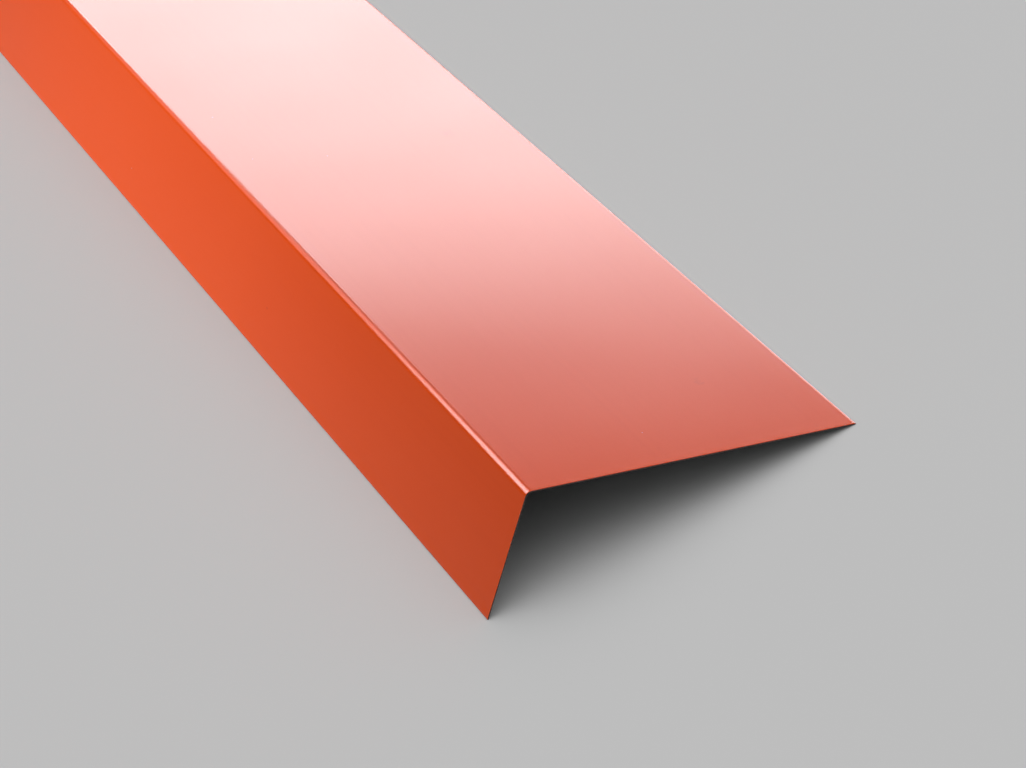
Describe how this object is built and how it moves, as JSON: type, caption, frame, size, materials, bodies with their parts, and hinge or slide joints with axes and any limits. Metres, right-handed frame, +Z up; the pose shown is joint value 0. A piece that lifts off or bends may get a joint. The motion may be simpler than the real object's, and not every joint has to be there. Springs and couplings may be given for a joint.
{
  "type": "eaves flashing",
  "caption": "Long folded sheet-metal eaves flashing: a wide roof flange and a short fascia leg that opens outwards, in satin orange-red coated steel, with plain cut ends.",
  "frame": {"origin": "on the floor, midway along the length and midway between the two free edges it stands on", "axes": "+X along the length; +Y from the fascia leg towards the free edge of the roof flange; +Z up, with the fold on top"},
  "size_m": [2, 0.1522, 0.04],
  "materials": {
    "coated_steel": "satin orange-red coil coating on the outside, pale grey backing coat inside"
  },
  "bodies": {
    "root": {"eaves_flashing": "coated_steel"}
  },
  "joints": []
}
